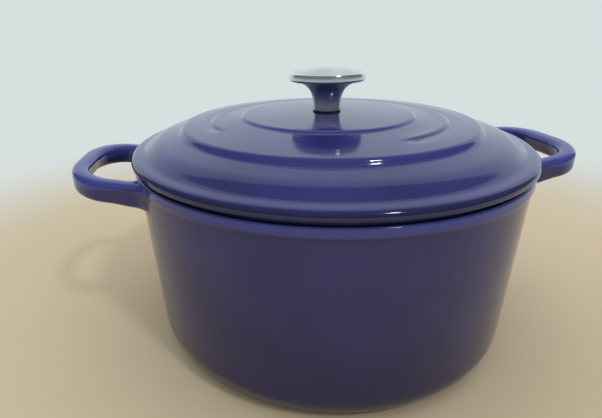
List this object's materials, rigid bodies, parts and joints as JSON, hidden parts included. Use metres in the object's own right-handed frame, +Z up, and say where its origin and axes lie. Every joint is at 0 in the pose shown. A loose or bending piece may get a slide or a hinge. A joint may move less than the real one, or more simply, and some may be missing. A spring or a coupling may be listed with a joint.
{
  "type": "dutch oven",
  "caption": "Round enamelled cast-iron dutch oven with loop handles and a stepped lift-off lid that carries a screwed-on steel mushroom knob.",
  "frame": {"origin": "on the table under the axis of the pot, which is the middle of the bottom of the bounding box", "axes": "+Z up along the axis of the pot and lid, +X towards one loop handle, +Y across the handles"},
  "size_m": [0.3474, 0.2716, 0.1828],
  "materials": {
    "violet_enamel_pot": "cast iron under glossy violet-blue enamel",
    "cream_enamel_pot": "glossy cream enamel fused to the inside of the pot",
    "violet_enamel_lid": "cast iron under glossy violet-blue enamel",
    "cream_enamel_lid": "glossy cream enamel fused to the underside of the lid",
    "black_rubber": "matte heat-proof rubber",
    "stainless_knob": "satin top, polished rim and neck",
    "steel_screw": "plain steel",
    "steel_flat_washer": "plain steel",
    "steel_lock_washer": "spring steel"
  },
  "bodies": {
    "pot_body": {"pot": "violet_enamel_pot", "pot_lining": "cream_enamel_pot"},
    "lid_body": {"lid": "violet_enamel_lid", "lid_lining": "cream_enamel_lid", "knob_gasket": "black_rubber"},
    "knob_body": {"knob": "stainless_knob"},
    "screw_body": {"knob_screw": "steel_screw", "flat_washer": "steel_flat_washer", "lock_washer": "steel_lock_washer"}
  },
  "joints": [
    {"name": "lid_lift", "type": "slide", "parent": "pot_body", "child": "lid_body", "axis": [0, 0, 1], "range_m": [0, 0.16]},
    {"name": "knob_turn", "type": "hinge", "parent": "lid_body", "child": "knob_body", "pos_m": [0, 0, 0.17], "axis": [0, 0, 1], "range_deg": [0, 3600]},
    {"name": "screw_drop", "type": "slide", "parent": "lid_body", "child": "screw_body", "axis": [0, 0, -1], "range_m": [0, 0.0081]}
  ],
  "couplings": [
    {"joint": "screw_drop", "follows": "knob_turn", "m_per_rad": 0.00012732}
  ]
}
